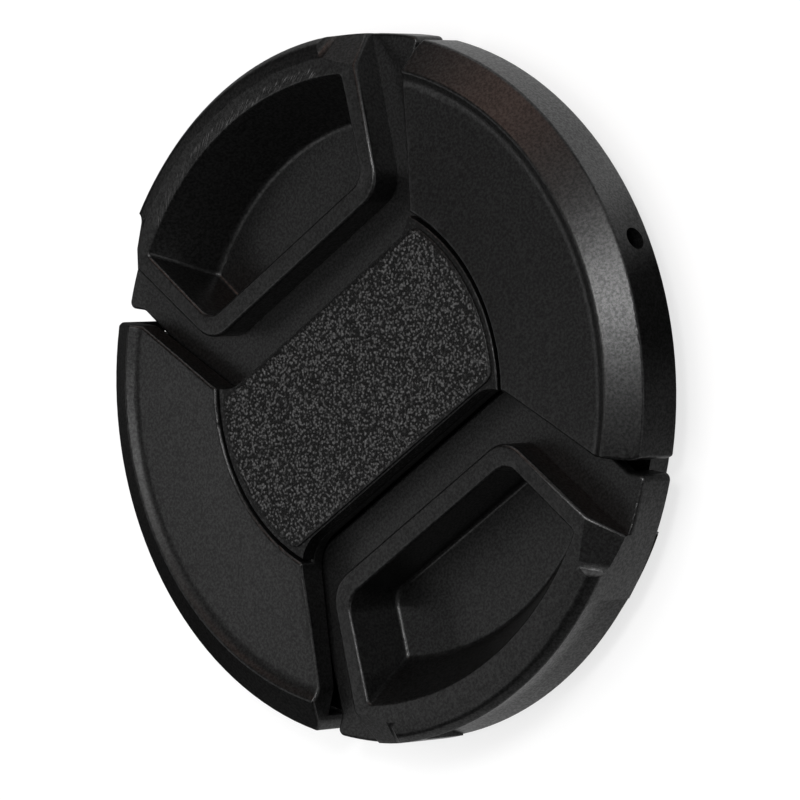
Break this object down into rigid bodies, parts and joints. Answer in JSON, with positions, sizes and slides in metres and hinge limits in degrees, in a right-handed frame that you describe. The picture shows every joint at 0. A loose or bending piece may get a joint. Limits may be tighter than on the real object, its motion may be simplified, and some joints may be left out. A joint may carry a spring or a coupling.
{
  "type": "centre-pinch camera lens cap",
  "caption": "Round black plastic clip-in cap for a camera lens, with sprung pinch tabs, deep finger wells and a stippled centre plate.",
  "frame": {"origin": "centre of the cap's box at its rear face, on the lens axis", "axes": "+Z along the lens axis towards the front face, +Y towards the first pinch tab, +X towards the lobe with the leash hole"},
  "size_m": [0.062, 0.062, 0.0095],
  "materials": {
    "black_plastic": "satin, finely grained moulded ABS",
    "stippled_plastic": "coarsely stippled moulded ABS",
    "spring_steel": "drawn spring wire"
  },
  "bodies": {
    "shell": {"front_body": "black_plastic", "centre_plate": "stippled_plastic", "back_plate": "black_plastic", "spring_a": "spring_steel", "spring_b": "spring_steel"},
    "tab_a": {"pinch_tab_a": "black_plastic"},
    "tab_b": {"pinch_tab_b": "black_plastic"}
  },
  "joints": [
    {"name": "pinch_a", "type": "slide", "parent": "shell", "child": "tab_a", "axis": [0, -1, 0], "range_m": [0, 0.0012], "stiffness_N_per_m": 300, "springref_m": -0.008, "deforming": ["spring_a", "spring_b"]},
    {"name": "pinch_b", "type": "slide", "parent": "shell", "child": "tab_b", "axis": [0, 1, 0], "range_m": [0, 0.0012], "stiffness_N_per_m": 300, "springref_m": -0.008, "deforming": ["spring_a", "spring_b"]}
  ]
}
